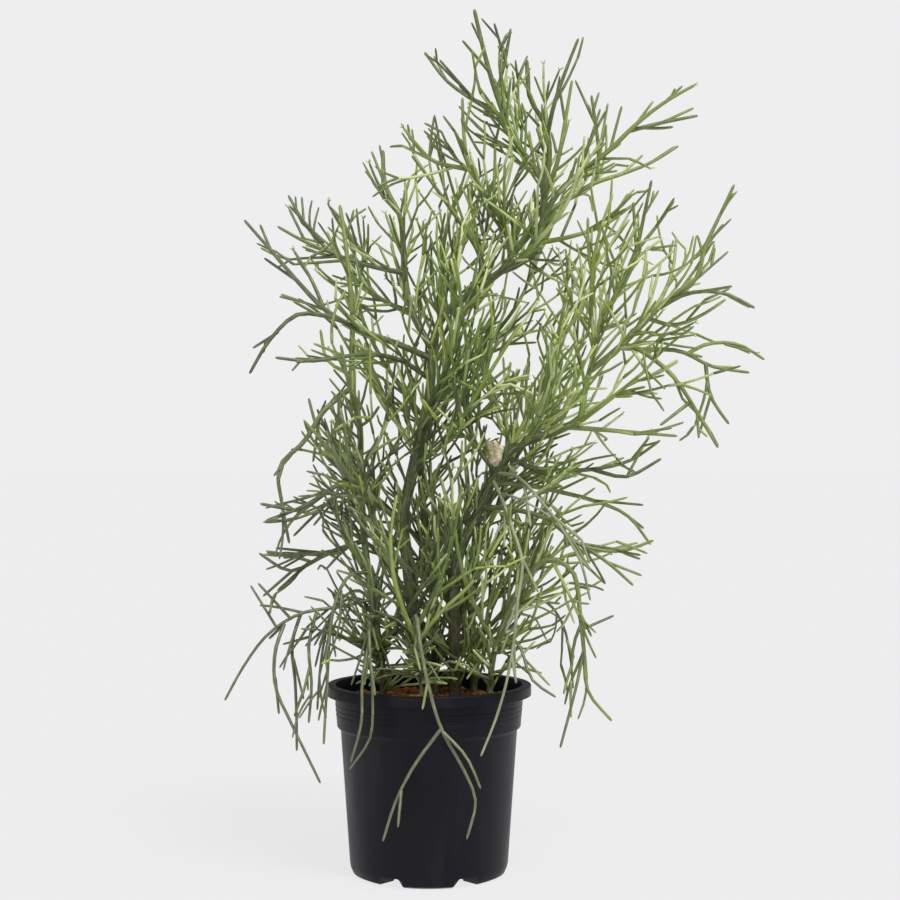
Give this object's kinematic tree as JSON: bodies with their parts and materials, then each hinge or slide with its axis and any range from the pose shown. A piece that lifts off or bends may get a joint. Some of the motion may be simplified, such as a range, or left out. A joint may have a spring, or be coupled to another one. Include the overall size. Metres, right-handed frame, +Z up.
{
  "type": "potted pencil cactus",
  "caption": "Bushy leafless succulent of forking pencil-thin green twigs, with thick stems and trailing branches, standing in a black nursery pot with a rolled lip and raised base.",
  "frame": {"origin": "middle of the underside of the pot's base disc, on the floor", "axes": "+Z up through the pot's axis, -Y towards the front as pictured, +X to the right seen from the front"},
  "size_m": [0.5041, 0.254, 0.8025],
  "materials": {
    "pot_plastic": "satin",
    "potting_mix": "matte",
    "green_stem": "satin",
    "pale_stem": "satin"
  },
  "bodies": {
    "root": {"pot": "pot_plastic", "soil": "potting_mix", "stem_main": "green_stem", "stem_right": "green_stem", "stem_left": "green_stem", "stem_front": "pale_stem", "stem_back": "green_stem", "stem_low_right": "green_stem", "stem_centre": "green_stem"}
  },
  "joints": []
}
